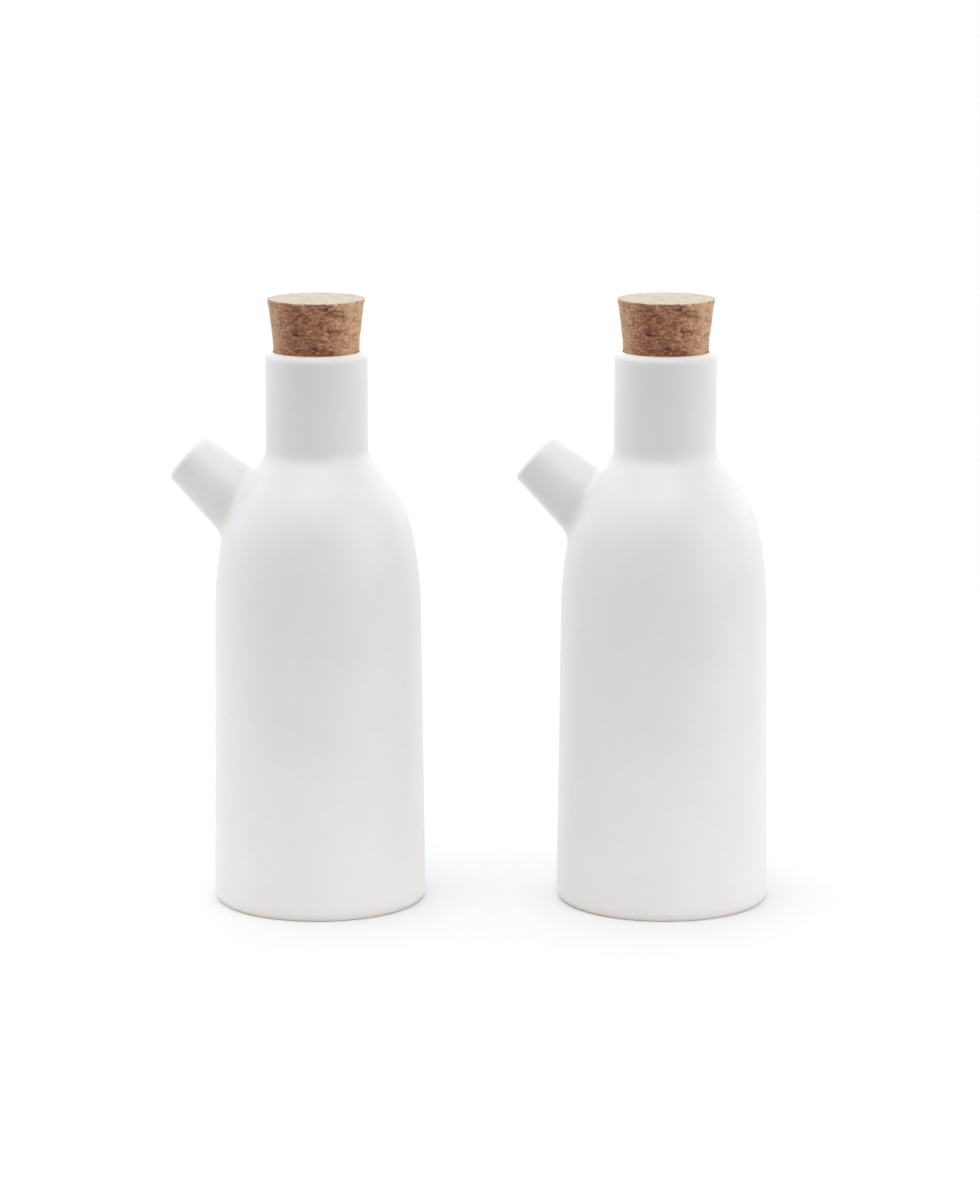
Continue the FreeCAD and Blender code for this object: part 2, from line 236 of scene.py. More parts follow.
def round_at(turn, rounds):
    """Radius of a joint's round at turns from the spout's top line."""
    above, beside, below = rounds
    lift = np.cos(turn)
    return np.where(lift > 0, beside + (above - beside) * lift, beside - (below - beside) * lift)


def joint_rings(skin, border_angle, border_length, end_radius, rounds):
    """Rings of points from a patch's border over the wall and the round on to the cone.

    Returns the rings, and for the last one each point's turn round the spout and its distance
    back from the spout's end.
    """
    turn = turns_towards(skin, border_angle, border_length, end_radius)
    back = meet(skin, turn, end_radius)
    foot = cone_point(turn, back, end_radius)
    normal = skin.normal(*skin.nearest(foot))
    spoke = spout_spoke(turn)
    outward = unit(SPOUT_ALONG - SPOUT_WIDENING * spoke)
    away = unit(spoke - normal * np.sum(spoke * normal, axis=1, keepdims=True))
    opening = np.arccos(np.clip(np.sum(outward * away, axis=1), -1, 1))
    radius = round_at(turn, rounds)
    reach = (radius / np.tan(opening / 2))[:, None]
    pull = (4 / 3 * np.tan((math.pi - opening) / 4) * radius)[:, None]
    start = foot + outward * reach
    edge_angle, edge_length = skin.nearest(foot + away * reach)
    edge = skin.point(edge_angle, edge_length)
    edge_normal = skin.normal(edge_angle, edge_length)
    leaving = unit(away - edge_normal * np.sum(away * edge_normal, axis=1, keepdims=True))

    rings = []
    for i in range(1, PATCH_RINGS):
        t = i / PATCH_RINGS
        rings.append(skin.point(
            border_angle + (edge_angle - border_angle) * t,
            border_length + (edge_length - border_length) * t,
        ))
    # The round is a cubic curve from the edge on the wall to the start of the cone.
    p0, p1, p2, p3 = edge, edge - leaving * pull, start - outward * pull, start
    for i in range(JOINT_RINGS + 1):
        t = i / JOINT_RINGS
        u = 1 - t
        rings.append(p0 * u**3 + 3 * p1 * u * u * t + 3 * p2 * u * t * t + p3 * t**3)
    return rings, turn, (back - reach[:, 0])


def spout_rings(turn_out, back_out, turn_in, back_in):
    """Rings of the spout between its two joints: over the cone, round the lip, down the bore."""
    corners = [
        (SPOUT_RADIUS + BEYOND_LIP * SPOUT_WIDENING, BEYOND_LIP),
        (SPOUT_RADIUS, 0.0),
        (BORE_RADIUS, 0.0),
        (BORE_RADIUS + BEYOND_LIP * SPOUT_WIDENING, BEYOND_LIP),
    ]
    outer_lip = round_corner(*corners[:3], LIP_ROUND, LIP_STEP)
    inner_lip = round_corner(*corners[1:], BORE_ROUND, BORE_STEP)
    cone_end, bore_start = outer_lip[0, 1], inner_lip[-1, 1]
    rings = []
    for i in range(1, CONE_RINGS):
        back = back_out + (cone_end - back_out) * i / CONE_RINGS
        rings.append(cone_point(turn_out, back, SPOUT_RADIUS))
    for radius, back in np.concatenate([outer_lip, inner_lip]):
        everywhere = np.ones(len(turn_out))  # one value for each turn
        rings.append(spout_point(turn_out, back * everywhere, radius * everywhere))
    for i in range(1, CONE_RINGS):
        t = i / CONE_RINGS
        turn = turn_out + (turn_in - turn_out) * t
        back = bore_start + (back_in - bore_start) * t
        rings.append(cone_point(turn, back, BORE_RADIUS))
    return rings


def patch_rows(section):
    """Rows of the bottle's grid in the patch round the spout, outside and inside, upwards."""
    rim = int(np.argmax(section[:, 1]))
    low, high = OUTER_PATCH
    outer_rows = [i - 1 for i in range(1, rim) if low < section[i, 1] < high]
    inner_side = range(rim + 2, len(section) - 1)
    middle = min(inner_side, key=lambda i: abs(section[i, 1] - INNER_PATCH_MIDDLE)) - 1
    lowest = middle + len(outer_rows) // 2
    inner_rows = list(range(lowest, lowest - len(outer_rows), -1))
    return outer_rows, inner_rows


def patch_border(rows):
    """Grid places (row, segment) round the patch: along its bottom, up, back and down."""
    bottom, top = rows[0], rows[-1]
    places = [(bottom, segment) for segment in range(-HALF_PATCH, HALF_PATCH)]
    places += [(row, HALF_PATCH) for row in rows[:-1]]
    places += [(top, segment) for segment in range(HALF_PATCH, -HALF_PATCH, -1)]
    places += [(row, -HALF_PATCH) for row in rows[:0:-1]]
    return places


def fan(middle, ring):
    """Faces from a middle point to a ring."""
    return [(middle, ring[i], ring[(i + 1) % len(ring)]) for i in range(len(ring))]


def band(ring, following):
    """Faces between two rings, face i from point i to the next."""
    faces = []
    for i in range(len(ring)):
        j = (i + 1) % len(ring)
        faces.append((ring[i], ring[j], following[j], following[i]))
    return faces


def body_faces(grid, patches):
    """Faces of the body, with a hole where each patch is."""
    faces = fan(0, grid[0][::-1]) + fan(1, grid[-1])
    for row in range(len(grid) - 1):
        across = band(grid[row], grid[row + 1])
        if any(min(rows) <= row < max(rows) for rows in patches):
            across = across[HALF_PATCH:-HALF_PATCH]
        faces += across
    return faces


def bottle_mesh(name):
    """The whole bottle as one closed mesh, with its axis at the origin and its spout to +X."""
    section = rounded_path(SECTION, ROW)
    angles = np.arange(SEGMENTS) * 2 * math.pi / SEGMENTS
    # Points 0 and 1 are on the axis, and grid row 0 is the section's point 1.
    points = [(0, 0, section[0, 1]), (0, 0, section[-1, 1])]
    for radius, height in section[1:-1]:
        heights = np.full(SEGMENTS, height)
        points.extend(zip(radius * np.cos(angles), radius * np.sin(angles), heights))
    grid = np.arange(2, len(points)).reshape(-1, SEGMENTS)

    def joint(rows, skin, end_radius, rounds):
        """The numbers of a patch's border points, and the joint that starts from them."""
        places = patch_border(rows)
        numbers = [int(grid[row, segment % SEGMENTS]) for row, segment in places]
        angle = np.array([segment * 2 * math.pi / SEGMENTS for row, segment in places])
        length = skin.length_at(np.array([section[row + 1, 1] for row, segment in places]))
        return numbers, joint_rings(skin, angle, length, end_radius, rounds)

    outer, inner = bottle_walls()
    patches = patch_rows(section)
    outer_border, (outer_rings, *outer_end) = joint(patches[0], outer, SPOUT_RADIUS, OUTER_JOINT)
    inner_border, (inner_rings, *inner_end) = joint(patches[1], inner, BORE_RADIUS, INNER_JOINT)

    rings = [outer_border]
    for ring in outer_rings + spout_rings(*outer_end, *inner_end) + inner_rings[::-1]:
        rings.append(list(range(len(points), len(points) + len(ring))))
        points.extend(ring)
    rings.append(inner_border)
    faces = body_faces(grid, patches)
    for ring, following in zip(rings, rings[1:]):
        faces += band(ring, following)

    # The points inside the two patches are left out, as no face uses them.
    used = sorted({int(i) for face in faces for i in face})
    number = {old: new for new, old in enumerate(used)}
    mesh = bpy.data.meshes.new(name)
    mesh.from_pydata(
        [tuple(map(float, points[i])) for i in used],
        [],
        [tuple(number[int(i)] for i in face) for face in faces],
    )
    return mesh


# ---- the cork -------------------------------------------------------------------------------
CORK_LENGTH = 30.0
# Height and radius along the cork's side, which flares a little towards its top.
CORK_SIDE = [(0, 12.6), (0.5, 13.1), (12.1, 14.45), (16.2, 14.7), (27.4, 16.05), (29.4, 16.5)]
CORK_SEGMENTS = 300
CORK_ROWS = 90
CAP_RINGS = 44
CORK_IN_MOUTH = 12.3  # length of the lower end that stays smooth enough for the mouth
CORK_SEED = 7  # of the lenticels on the rest of the side and on the ends, alike in both corks
# Lenticels that open on the side: bearing from the front in degrees (to the right), height,
# half width, half height and depth.
LENTICELS = [
    (-25, 19.3, 0.95, 0.42, 0.8),
    (0, 14.7, 1.0, 0.8, 0.6),
    (-53, 28.0, 0.6, 0.45, 0.5),
    (66, 18.3, 0.35, 0.7, 0.6),
    (68, 16.5, 0.4, 0.6, 0.5),
    (-25, 13.2, 0.6, 0.3, 0.4),
    (-70, 21.5, 0.5, 0.5, 0.5),
    (12, 27.8, 1.3, 0.28, 0.35),
    (5, 22.7, 1.6, 0.22, 0.3),
    (-14, 24.6, 1.2, 0.2, 0.25),
    (28, 20.4, 1.0, 0.22, 0.25),
    (38, 25.4, 0.5, 0.4, 0.35),
]
# The rest of the side's lenticels lie behind, within these bearings and this far from the ends.
SIDE_PITS = 46  # with those above
BEHIND = (75, 285)
CLEAR_OF_ENDS = 2
SIDE_PIT_HALF_WIDTH = (0.5, 1.7)
SIDE_PIT_FLATNESS = (0.25, 0.5)  # half height as a share of half width
SIDE_PIT_DEPTH = (0.3, 0.9)
SIDE_PIT_BOWL = 0.7  # power of its section; less is steeper at the rim
SIDE_PIT_REACH = 2  # half widths from its middle that no lenticel reaches, ragged as it is
SCATTERED_END_PITS = 26
END_PIT_PLACE = (-13, 13)  # in x and in y
END_PIT_RADIUS = (0.4, 1.0)
END_PIT_DEPTH = (0.2, 0.7)
FRONT_END_PIT = (3.6, -9.2, 0.8, 0.6)  # x, y, radius and depth
# Noise has a height, the size of its features and a number of octaves.
RAGGED = (0.45, 0.7, 2)  # how unevenly a lenticel is bounded
SIDE_GRAIN = (0.05, 0.9, 4)
SIDE_SWELL = (0.07, 4.5, 2)
END_GRAIN = (0.05, 0.8, 4)
END_SWELL = (0.10, 5, 2)
CRUMBLE = (1.1, 1.5, 3)
OCTAVE_FADE = 0.9  # how fast the octaves of a noise get weaker
OCTAVE_STEP = 2.0  # how much finer each octave is
LAYERING = 1.8  # how much finer the side's grain is upwards than across
SIDE_INSET = 0.05  # of the mean surface from CORK_SIDE
PROUDEST = 0.03  # how far the grain may stand outside CORK_SIDE
# The ends' grain, swell and wear are cuts at these heights through one noise.
GRAIN_CUT = 9
SWELL_CUT = 5
WEAR_CUT = 3
DOME = 0.45  # how much the middle of the top stands above its edge
LEVEL_EDGE = 4  # the top's grain fades over its outer 1 / LEVEL_EDGE
FOOT_INSET = 0.03  # of the lower end, upwards
FOOT_PITS = 0.5  # depth of the pits in the lower end, of those in the top
# The upper edge is worn this far down the side, and both ends outwards from this share.
WORN_SIDE = 1.2
WORN_SHARE = 0.9
EVEN_WEAR = 0.12
CRUMBLE_LEVEL = 0.055  # height of the crumble noise above which the edge has crumbled
WEAR_DROP = 0.35  # how far the edge sinks for each millimetre that it wears back


def fractal(point, height, size, octaves):
    """Smooth noise to about this height on both sides of 0, with features of this size."""
    return height * noise.fractal(Vector(point) / size, OCTAVE_FADE, OCTAVE_STEP, octaves)


def scatter_side_pits(rng):
    """All lenticels of the side, as (bearing, height, half width, half height, depth)."""
    pits = [(math.radians(b), h, w, t, d) for b, h, w, t, d in LENTICELS]
    while len(pits) < SIDE_PITS:
        bearing = math.radians(rng.uniform(*BEHIND))
        height = rng.uniform(CLEAR_OF_ENDS, CORK_LENGTH - CLEAR_OF_ENDS)
        half_width = rng.uniform(*SIDE_PIT_HALF_WIDTH)
        half_height = half_width * rng.uniform(*SIDE_PIT_FLATNESS)
        pits.append((bearing, height, half_width, half_height, rng.uniform(*SIDE_PIT_DEPTH)))
    return pits


def scatter_end_pits(rng):
    """All pits of the ends, as (x, y, radius, depth)."""
    ranges = (END_PIT_PLACE, END_PIT_PLACE, END_PIT_RADIUS, END_PIT_DEPTH)
    pits = [tuple(rng.uniform(*limits) for limits in ranges) for _ in range(SCATTERED_END_PITS)]
    return pits + [FRONT_END_PIT]


def on_cork(bearing, radius):
    """x and y at a bearing from the front and a radius."""
    return radius * math.sin(bearing), -radius * math.cos(bearing)


def edge_wear(x, y):
    """How far an end's edge is worn back here, more where it has crumbled."""
    return EVEN_WEAR + max(0.0, fractal((x, y, WEAR_CUT), *CRUMBLE) - CRUMBLE_LEVEL)


def side_pit_depth(pits, bearing, radius, here):
    """How deep a place on the side lies in a lenticel."""
    depth = 0.0
    for at, level, half_width, half_height, deep in pits:
        across = math.remainder(bearing - at, math.tau) * radius / half_width
        if abs(across) > SIDE_PIT_REACH:
            continue
        up = (here[2] - level) / half_height
        apart = math.hypot(across, up) * (1 + fractal(here, *RAGGED))
        if apart < 1:
            depth = max(depth, deep * (1 - apart * apart) ** SIDE_PIT_BOWL)
    return depth


def side_point(pits, bearing, height):
    """Where a point of the side is, and how deep it lies in a lenticel."""
    radius = np.interp(height, *zip(*CORK_SIDE))
    x, y = on_cork(bearing, radius)
    here = (x, y, height)
    depth = side_pit_depth(pits, bearing, radius, here)
    grain = fractal((x, y, height * LAYERING), *SIDE_GRAIN) + fractal(here, *SIDE_SWELL)
    sink = depth - grain + SIDE_INSET
    if height < CORK_IN_MOUTH:
        sink = max(sink, 0.0)
    below_edge = CORK_LENGTH - height
    if below_edge < WORN_SIDE:
        sink += edge_wear(x, y) * (1 - below_edge / WORN_SIDE) ** 2
    return (*on_cork(bearing, radius - max(sink, -PROUDEST)), height), depth


def end_point(pits, bearing, share, height):
    """Where a point of an end is, at a share of its radius, and how deep it lies in a pit."""
    radius = share * np.interp(height, *zip(*CORK_SIDE))
    x, y = on_cork(bearing, radius)
    depth = 0.0
    for pit_x, pit_y, pit_radius, deep in pits:
        apart = math.hypot(x - pit_x, y - pit_y) / pit_radius
        if apart < 1:
            depth = max(depth, deep * (1 - apart * apart))
    grain = fractal((x, y, GRAIN_CUT), *END_GRAIN) + fractal((x, y, SWELL_CUT), *END_SWELL)
    worn = 0.0
    if share > WORN_SHARE:
        worn = edge_wear(x, y) * ((share - WORN_SHARE) / (1 - WORN_SHARE)) ** 2
        x *= 1 - worn / radius
        y *= 1 - worn / radius
    if height == 0:
        depth *= FOOT_PITS
        return (x, y, depth + FOOT_INSET), depth
    rise = DOME * (1 - share * share) + grain * min(1, LEVEL_EDGE * (1 - share))
    return (x, y, height + rise - depth - WEAR_DROP * worn), depth


def cork_mesh(name):
    """A tapered cork with its axis at the origin, its foot at z = 0 and its front to -Y."""
    rng = random.Random(CORK_SEED)
    side_pits = scatter_side_pits(rng)
    end_pits = scatter_end_pits(rng)
    bearings = [i * math.tau / CORK_SEGMENTS for i in range(CORK_SEGMENTS)]
    shares = [ring / CAP_RINGS for ring in range(1, CAP_RINGS)]
    heights = [CORK_LENGTH * row / CORK_ROWS for row in range(CORK_ROWS + 1)]
    middles = [end_point(end_pits, 0, 0, height) for height in (0, CORK_LENGTH)]
    foot = [end_point(end_pits, bearing, share, 0) for share in shares for bearing in bearings]
    side = [side_point(side_pits, bearing, height) for height in heights for bearing in bearings]
    top = [
        end_point(end_pits, bearing, share, CORK_LENGTH)
        for share in reversed(shares) for bearing in bearings
    ]
    places, depths = zip(*middles, *foot, *side, *top)
    ends = [1.0] * (len(middles) + len(foot)) + [0.0] * len(side) + [1.0] * len(top)

    rings = np.arange(2, len(places)).reshape(-1, CORK_SEGMENTS).tolist()
    faces = fan(0, rings[0][::-1]) + fan(1, rings[-1])
    for ring, following in zip(rings, rings[1:]):
        faces += band(ring, following)
    mesh = bpy.data.meshes.new(name)
    mesh.from_pydata(places, [], faces)
    for attribute, values in (("pit", depths), ("end", ends)):
        layer = mesh.attributes.new(attribute, "FLOAT", "POINT")
        layer.data.foreach_set("value", values)
    return mesh


# ---- materials ------------------------------------------------------------------------------
def rgb(red, green, blue):
    """A colour given as sRGB, 0 to 255, as the linear colour that shaders use."""
    linear = [
        c / 12.92 if c <= 0.04045 else ((c + 0.055) / 1.055) ** 2.4
        for c in (red / 255, green / 255, blue / 255)
    ]
    return (*linear, 1.0)


GLAZE = (rgb(229, 228, 226), rgb(232, 231, 230))
GLAZE_MOTTLE = rgb(224, 222, 219)
PINHOLE = rgb(176, 168, 156)
BISCUIT = (rgb(236, 227, 216), rgb(222, 211, 198))

BARK = (rgb(138, 84, 62), rgb(200, 142, 108))
# Painted sheen and side light on the bark's flanks; on the left partly a real pale patch of bark
# as well.
PAINTED_SHEEN_RIGHT = rgb(236, 194, 152)
PALE_PATCH_AND_SHEEN_LEFT = rgb(230, 190, 152)
# Painted shade on the front of the bark.
PAINTED_SHADE_FRONT = rgb(112, 62, 46)
PALE_FLAKE = rgb(230, 182, 144)
DARK_FLAKE = rgb(114, 62, 45)
BARK_STREAK = rgb(106, 58, 44)
CUT_CORK = (rgb(200, 188, 171), rgb(216, 207, 192))
CUT_FLAKE = rgb(186, 164, 140)
CUT_STREAK = rgb(166, 138, 110)
GRAIN_SHADE = rgb(140, 90, 64)
LENTICEL_SHADE = rgb(86, 50, 40)
CORK_SHEEN = rgb(255, 236, 214)

FLOOR_COLOUR = rgb(238, 238, 238)
FLAG_COLOUR = rgb(50, 43, 38)
WHITE = rgb(255, 255, 255)

# A Mix node has sockets of the same names for each kind of data. These are the ones for colour.
MIX_FIRST = 6
MIX_SECOND = 7
MIX_RESULT = 2


class Nodes:
    """A material's node tree, with short calls for the nodes that this script uses."""

    def __init__(self, name):
        self.material = bpy.data.materials.new(name)
        self.material.use_nodes = True
        self.tree = self.material.node_tree
        self.shader = self.tree.nodes["Principled BSDF"]
        self.place = self.add("ShaderNodeTexCoord").outputs["Object"]

    def add(self, kind, **inputs):
        """A new node with its inputs fed, whose names have _ for a space here."""
        node = self.tree.nodes.new(kind)
        for name, value in inputs.items():
            self.feed(node.inputs[name.replace("_", " ")], value)
        return node

    def feed(self, socket, value):
        if isinstance(value, bpy.types.NodeSocket):
            self.tree.links.new(value, socket)
        else:
            socket.default_value = value

    def stretch(self, scale):
        return self.add("ShaderNodeMapping", Vector=self.place, Scale=scale).outputs["Vector"]

    def noise(self, size, detail=4.0, roughness=0.55, vector=None, distortion=0.0):
        """Noise from 0 to 1, with features of this size in millimetres."""
        node = self.add(
            "ShaderNodeTexNoise", Vector=vector or self.place, Scale=1 / (size * MM),
            Detail=detail, Roughness=roughness, Distortion=distortion,
        )
        return node.outputs["Fac"]

    def cells(self, size, vector=None, output="Distance"):
        """Cells of this size in millimetres: the distance to their middles, or a colour each."""
        node = self.add("ShaderNodeTexVoronoi", Vector=vector or self.place, Scale=1 / (size * MM))
        return node.outputs[output]

    def ramp(self, factor, low, high, low_value=0.0, high_value=1.0):
        """A straight rise from one value to another between two values of factor."""
        node = self.add(
            "ShaderNodeMapRange", Value=factor, From_Min=low, From_Max=high,
            To_Min=low_value, To_Max=high_value,
        )
        return node.outputs["Result"]

    def math(self, operation, first, second):
        node = self.add("ShaderNodeMath")
        node.operation = operation
        self.feed(node.inputs[0], first)
        self.feed(node.inputs[1], second)
        return node.outputs[0]

    def mix(self, factor, first, second, blend="MIX"):
        node = self.add("ShaderNodeMix")
        node.data_type = "RGBA"
        node.blend_type = blend
        self.feed(node.inputs["Factor"], factor)
        self.feed(node.inputs[MIX_FIRST], first)
        self.feed(node.inputs[MIX_SECOND], second)
        return node.outputs[MIX_RESULT]

    def axis(self, name):
        return self.add("ShaderNodeSeparateXYZ", Vector=self.place).outputs[name]

    def attribute(self, name):
        node = self.add("ShaderNodeAttribute")
        node.attribute_name = name
        return node.outputs["Fac"]

    def bump(self, height, distance, after=None):
        """Relief of this depth in millimetres, on top of the relief after."""
        node = self.add("ShaderNodeBump", Height=height, Strength=1.0, Distance=distance * MM)
        if after:
            self.feed(node.inputs["Normal"], after)
        return node.outputs["Normal"]

    def finish(self, colour, roughness, normal, **fixed):
        """Feeds the shader, whose fixed inputs are the same all over, and gives the material."""
        self.feed(self.shader.inputs["Base Color"], colour)
        self.feed(self.shader.inputs["Roughness"], roughness)
        if normal:
            self.feed(self.shader.inputs["Normal"], normal)
        for name, value in fixed.items():
            self.shader.inputs[name.replace("_", " ")].default_value = value
        return self.material


def porcelain_material():
    """Satin white glaze over porcelain, bare and warmer on the foot ring."""
    n = Nodes("porcelain_glaze")
    cloud = n.noise(24, detail=3)
    mottle = n.noise(2.4, detail=5, roughness=0.6)
    glaze = n.mix(n.ramp(cloud, 0.35, 0.65), *GLAZE)
    glaze = n.mix(n.ramp(mottle, 0.40, 0.75, 0.0, 0.18), glaze, GLAZE_MOTTLE)
    speck = n.ramp(n.cells(7.0), 0.030, 0.012)
    rare = n.ramp(n.noise(11, detail=1), 0.50, 0.56)
    pinhole = n.math("MULTIPLY", speck, rare)
    glaze = n.mix(n.math("MULTIPLY", pinhole, 0.55), glaze, PINHOLE)
    # The glaze ends in an uneven line just above the table.
    ragged = n.math("ADD", n.axis("Z"), n.ramp(n.noise(1.6), 0.3, 0.7, -0.22 * MM, 0.22 * MM))
    bare = n.ramp(ragged, 0.55 * MM, 0.35 * MM)
    biscuit = n.mix(n.ramp(n.noise(0.5), 0.35, 0.7), *BISCUIT)

    gloss = n.ramp(n.noise(5, detail=6, roughness=0.65), 0.3, 0.7, 0.36, 0.46)
    roughness = n.math("MAXIMUM", gloss, n.math("MULTIPLY", bare, 0.8))
    peel = n.bump(n.noise(3.2, detail=2), 0.022)
    fine = n.bump(n.noise(0.35, detail=2), 0.004, after=peel)
    pits = n.bump(n.math("SUBTRACT", 1.0, pinhole), 0.12, after=fine)
    return n.finish(
        n.mix(bare, glaze, biscuit), roughness, pits, Coat_Weight=0.25, Coat_Roughness=0.22,
    )


def cork_material():
    """Natural cork: layered brown side with dark lenticels, pale cut ends, painted shade in front
    and painted sheen on the flanks.
    """
    n = Nodes("natural_cork")
    broad = n.noise(5.5, detail=5, roughness=0.62, vector=n.stretch((1, 1, 2.1)), distortion=0.6)
    flakes = n.cells(1.15, vector=n.stretch((1, 1, 1.7)), output="Color")
    flake = n.add("ShaderNodeSeparateColor", Color=flakes).outputs["Red"]
    streak = n.noise(1.7, detail=5, roughness=0.75, vector=n.stretch((1, 1, 3.2)))
    fine = n.noise(0.45, detail=3, roughness=0.7)

    side = n.mix(n.ramp(broad, 0.38, 0.62), *BARK)
    # Painted shade in front and painted sheen and side light on both flanks, most on the right;
    # the left is partly a real pale patch.
    flank = n.math("ADD", n.axis("X"), n.ramp(broad, 0.3, 0.7, -4 * MM, 4 * MM))
    side = n.mix(n.ramp(flank, 3 * MM, 12 * MM, 0.0, 0.68), side, PAINTED_SHEEN_RIGHT)
    side = n.mix(n.ramp(flank, -9 * MM, -14 * MM, 0.0, 0.50), side, PALE_PATCH_AND_SHEEN_LEFT)
    # The front middle between the flanks, where the painted shade goes.
    left_of_right = n.ramp(flank, 8 * MM, 2 * MM)
    right_of_left = n.ramp(flank, -13 * MM, -9 * MM)
    middle = n.math("MULTIPLY", left_of_right, right_of_left)
    side = n.mix(n.math("MULTIPLY", middle, 0.26), side, PAINTED_SHADE_FRONT)
    side = n.mix(n.ramp(flake, 0.50, 1.0, 0.0, 0.45), side, PALE_FLAKE)
    side = n.mix(n.ramp(flake, 0.40, 0.0, 0.0, 0.50), side, DARK_FLAKE)
    side = n.mix(n.ramp(streak, 0.57, 0.72, 0.0, 0.75), side, BARK_STREAK)

    cut = n.mix(n.ramp(broad, 0.32, 0.68), *CUT_CORK)
    cut = n.mix(n.ramp(flake, 0.45, 0.0, 0.0, 0.40), cut, CUT_FLAKE)
    cut = n.mix(n.ramp(streak, 0.58, 0.70, 0.0, 0.50), cut, CUT_STREAK)

    # Where the upper edge has crumbled, the pale inside shows on the side too.
    torn = n.ramp(n.noise(1.5, detail=3), 0.40, 0.66, -0.9 * MM, 0.6 * MM)
    torn = n.ramp(n.math("ADD", n.axis("Z"), torn), 29.75 * MM, 29.95 * MM)
    colour = n.mix(n.math("MAXIMUM", n.attribute("end"), torn), side, cut)
    colour = n.mix(n.ramp(fine, 0.35, 0.7, 0.0, 0.28), colour, GRAIN_SHADE, "MULTIPLY")
    colour = n.mix(n.ramp(n.attribute("pit"), 0.05, 0.5, 0.0, 0.85), colour, LENTICEL_SHADE)

    roughness = n.ramp(fine, 0.3, 0.7, 0.72, 0.9)
    relief = n.bump(flake, 0.08)
    relief = n.bump(streak, 0.18, after=relief)
    relief = n.bump(fine, 0.10, after=relief)
    return n.finish(
        colour, roughness, relief, Sheen_Weight=0.25, Sheen_Roughness=0.5,
        Sheen_Tint=CORK_SHEEN, Specular_IOR_Level=0.3,
    )


def plain_material(name, colour):
    """A matt material of one colour with a faint pale grain."""
    n = Nodes(name)
    grain = n.ramp(n.noise(0.8, detail=2), 0.3, 0.7, 0.0, 0.04)
    return n.finish(n.mix(grain, colour, WHITE), 0.9, None, Specular_IOR_Level=0.1)


# ---- pieces ---------------------------------------------------------------------------------
def add_piece(name, mesh, material, turn, at):
    """Puts a mesh made in millimetres at its place in the frame, as a smooth, closed piece."""
    mesh.transform(Matrix.Rotation(turn, 4, "Z") @ Matrix.Scale(MM, 4))
    mesh.materials.append(material)
    mesh.validate()
    mesh.polygons.foreach_set("use_smooth", [True] * len(mesh.polygons))
    piece = bpy.data.objects.new(name, mesh)
    piece.location = at
    bpy.context.scene.collection.objects.link(piece)
    return piece


def axis_of(node):
    """The point on a CAD node's upright axis at its lower end."""
    low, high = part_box(node)
    return Vector(((low.x + high.x) / 2, (low.y + high.y) / 2, low.z))


def add_cruet(side, glaze, cork):
    foot = axis_of(f"stopper_{side}")
    stopper = add_piece(f"cork_stopper_{side}", cork_mesh(f"cork_{side}"), cork, 0, foot)
    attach(stopper, f"cork_{side}")
    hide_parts(f"stopper_{side}")
    at = Vector((foot.x, foot.y, 0))
    bottle = add_piece(f"cruet_{side}", bottle_mesh(f"cruet_{side}"), glaze, SPOUT_TURN, at)
    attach(bottle, f"cruet_{side}")
    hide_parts(f"bottle_{side}")


# ---- floor ----------------------------------------------------------------------------------
FLOOR_REACH = 20.0
FLAG_EDGE = -0.345
FLAG_DEPTH = 0.001


def add_sheet(name, front, back, height, colour):
    """One flat part of the floor, from front to back, across the whole width."""
    mesh = bpy.data.meshes.new(name)
    corners = [
        (-FLOOR_REACH, front, height), (FLOOR_REACH, front, height),
        (FLOOR_REACH, back, height), (-FLOOR_REACH, back, height),
    ]
    mesh.from_pydata(corners, [], [(0, 1, 2, 3)])
    mesh.materials.append(plain_material(name, colour))
    sheet = bpy.data.objects.new(name, mesh)
    bpy.context.scene.collection.objects.link(sheet)
    return sheet


def add_floor():
    """A pale floor, with a dark card in front that sends no light back up to the pair.

    The card starts nearer to the camera than anything in its own view. Pale floor lies over the
    card too, but only the camera sees that part.
    """
    add_sheet("floor", FLAG_EDGE, FLOOR_REACH, 0, FLOOR_COLOUR)
    over_flag = add_sheet("floor_over_flag", -FLOOR_REACH, FLAG_EDGE, 0, FLOOR_COLOUR)
    over_flag.visible_diffuse = False
    over_flag.visible_glossy = False
    add_sheet("flag", -FLOOR_REACH, FLAG_EDGE, -FLAG_DEPTH, FLAG_COLOUR)


# ---- camera and light -----------------------------------------------------------------------
CAMERA_DISTANCE = 1.4197
CAMERA_HEIGHT = 0.3859
CAMERA_PITCH = math.radians(11.185)
CAMERA_ASIDE = -0.00037  # from the middle of the two axes
SENSOR = 36.0
LENS = 127.9


def add_camera():
    middle = (axis_of("stopper_left").x + axis_of("stopper_right").x) / 2
    camera = bpy.data.cameras.new("camera")
    camera.sensor_width = SENSOR
    camera.lens = LENS
    holder = bpy.data.objects.new("camera", camera)
    holder.location = (middle + CAMERA_ASIDE, -CAMERA_DISTANCE, CAMERA_HEIGHT)
    holder.rotation_euler = (math.pi / 2 - CAMERA_PITCH, 0, 0)
    bpy.context.scene.collection.objects.link(holder)
    bpy.context.scene.camera = holder


# The light tent: broad glows all round. Each has a bearing (0 in front, 90 to the right) and a
# height above the horizon in degrees, a tightness, a strength and a warmth. It fades as the
# cosine of the angle from its middle, to the power of its tightness.
GLOWS = [
    (0, 65, 12, 2.15, 0.00),
    (315, 40, 6, 0.71, 0.04),
    (45, 40, 6, 0.30, 0.04),
    (270, 40, 6, 0.88, -0.02),
    (135, 40, 6, 0.48, 0.12),
    (225, 40, 6, 0.48, 0.12),
    (60, 8, 8, 2.25, 0.00),
    (120, 8, 8, 1.50, -0.11),
    (180, 65, 12, 0.90, -0.03),
    (180, 8, 8, 1.80, -0.03),
    (240, 8, 8, 1.10, -0.19),
    (300, 8, 8, 0.30, 0.10),
]
# The soft box that hangs over the pair.
SOFT_BOX_HEIGHT = 0.6
SOFT_BOX_SIDE = 0.5
SOFT_BOX_WATTS = 0.50
SOFT_BOX_COLOUR = (0.90, 1.0, 1.14)


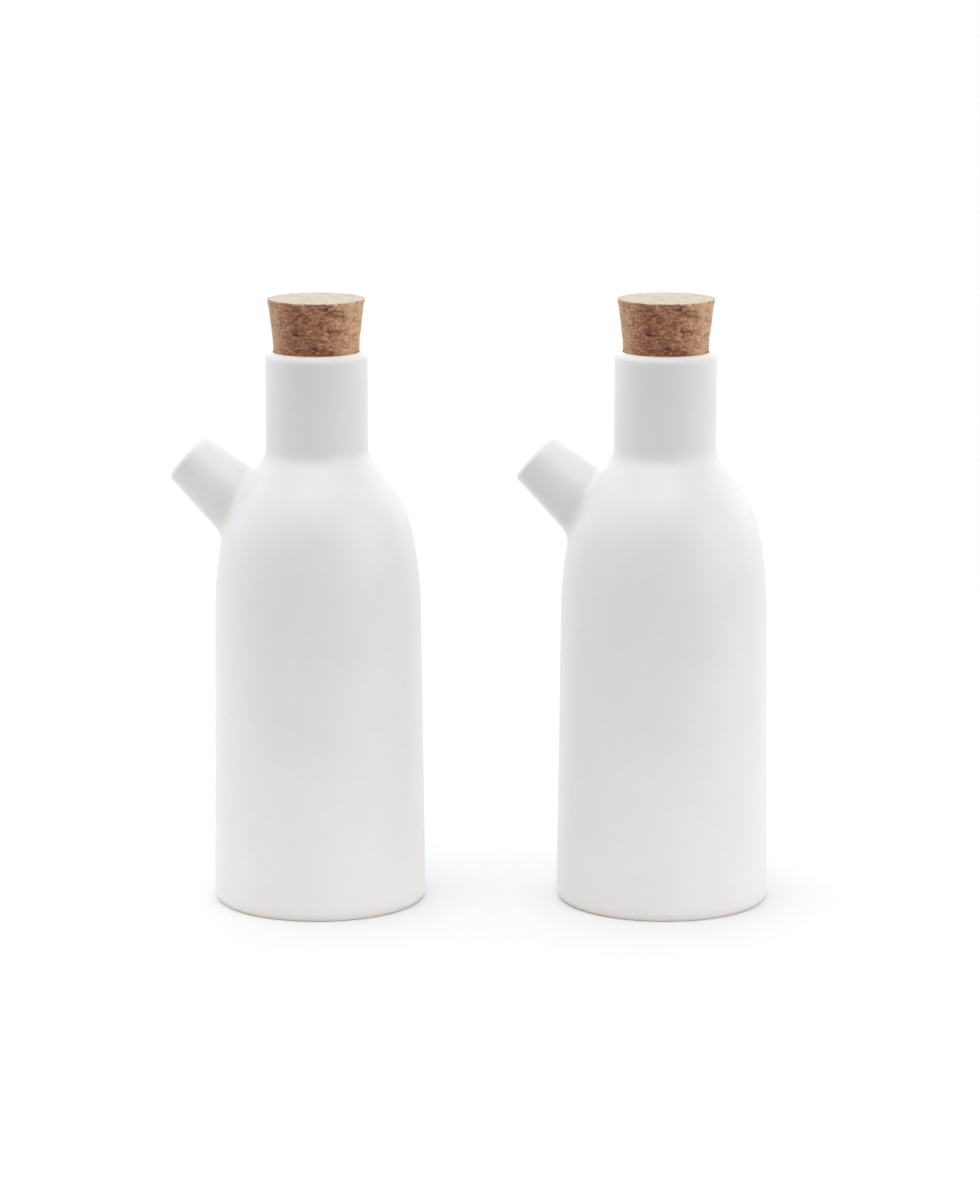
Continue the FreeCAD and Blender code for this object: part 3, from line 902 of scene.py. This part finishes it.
class Tent:
    """The world's node tree, which adds up the glows."""

    def __init__(self):
        self.world = bpy.data.worlds.new("tent")
        self.world.use_nodes = True
        self.tree = self.world.node_tree
        self.direction = self.tree.nodes.new("ShaderNodeTexCoord").outputs["Generated"]
        self.total = (0, 0, 0)

    def node(self, kind, operation, *values):
        """The outputs of a new node, with each value, given as (input, value), on its input."""
        node = self.tree.nodes.new(kind)
        node.operation = operation
        for name, value in values:
            if isinstance(value, bpy.types.NodeSocket):
                self.tree.links.new(value, node.inputs[name])
            else:
                node.inputs[name].default_value = value
        return node.outputs

    def add_glow(self, bearing, height, tightness, strength, warmth):
        aside, up = math.radians(bearing), math.radians(height)
        middle = (math.sin(aside) * math.cos(up), -math.cos(aside) * math.cos(up), math.sin(up))
        colour = (strength * (1 + warmth), strength, strength * (1 - warmth))
        facing = self.node("ShaderNodeVectorMath", "DOT_PRODUCT", (0, self.direction), (1, middle))
        ahead = self.node("ShaderNodeMath", "MAXIMUM", (0, facing["Value"]), (1, 0.0))
        fade = self.node("ShaderNodeMath", "POWER", (0, ahead[0]), (1, tightness))
        glow = self.node("ShaderNodeVectorMath", "SCALE", (0, colour), ("Scale", fade[0]))
        total = self.node("ShaderNodeVectorMath", "ADD", (0, glow[0]), (1, self.total))
        self.total = total[0]

    def finish(self):
        background = self.tree.nodes["Background"]
        self.tree.links.new(self.total, background.inputs["Color"])
        bpy.context.scene.world = self.world


def add_light():
    tent = Tent()
    for glow in GLOWS:
        tent.add_glow(*glow)
    tent.finish()

    lamp = bpy.data.lights.new("soft_box", "AREA")
    lamp.size = SOFT_BOX_SIDE
    lamp.energy = SOFT_BOX_WATTS
    lamp.color = SOFT_BOX_COLOUR
    box = bpy.data.objects.new("soft_box", lamp)
    box.location = (0, 0, SOFT_BOX_HEIGHT)
    box.visible_camera = False
    bpy.context.scene.collection.objects.link(box)


bpy.context.scene.view_settings.view_transform = "Standard"
add_camera()
glaze = porcelain_material()
cork = cork_material()
for side in SIDES:
    add_cruet(side, glaze, cork)
add_floor()
add_light()
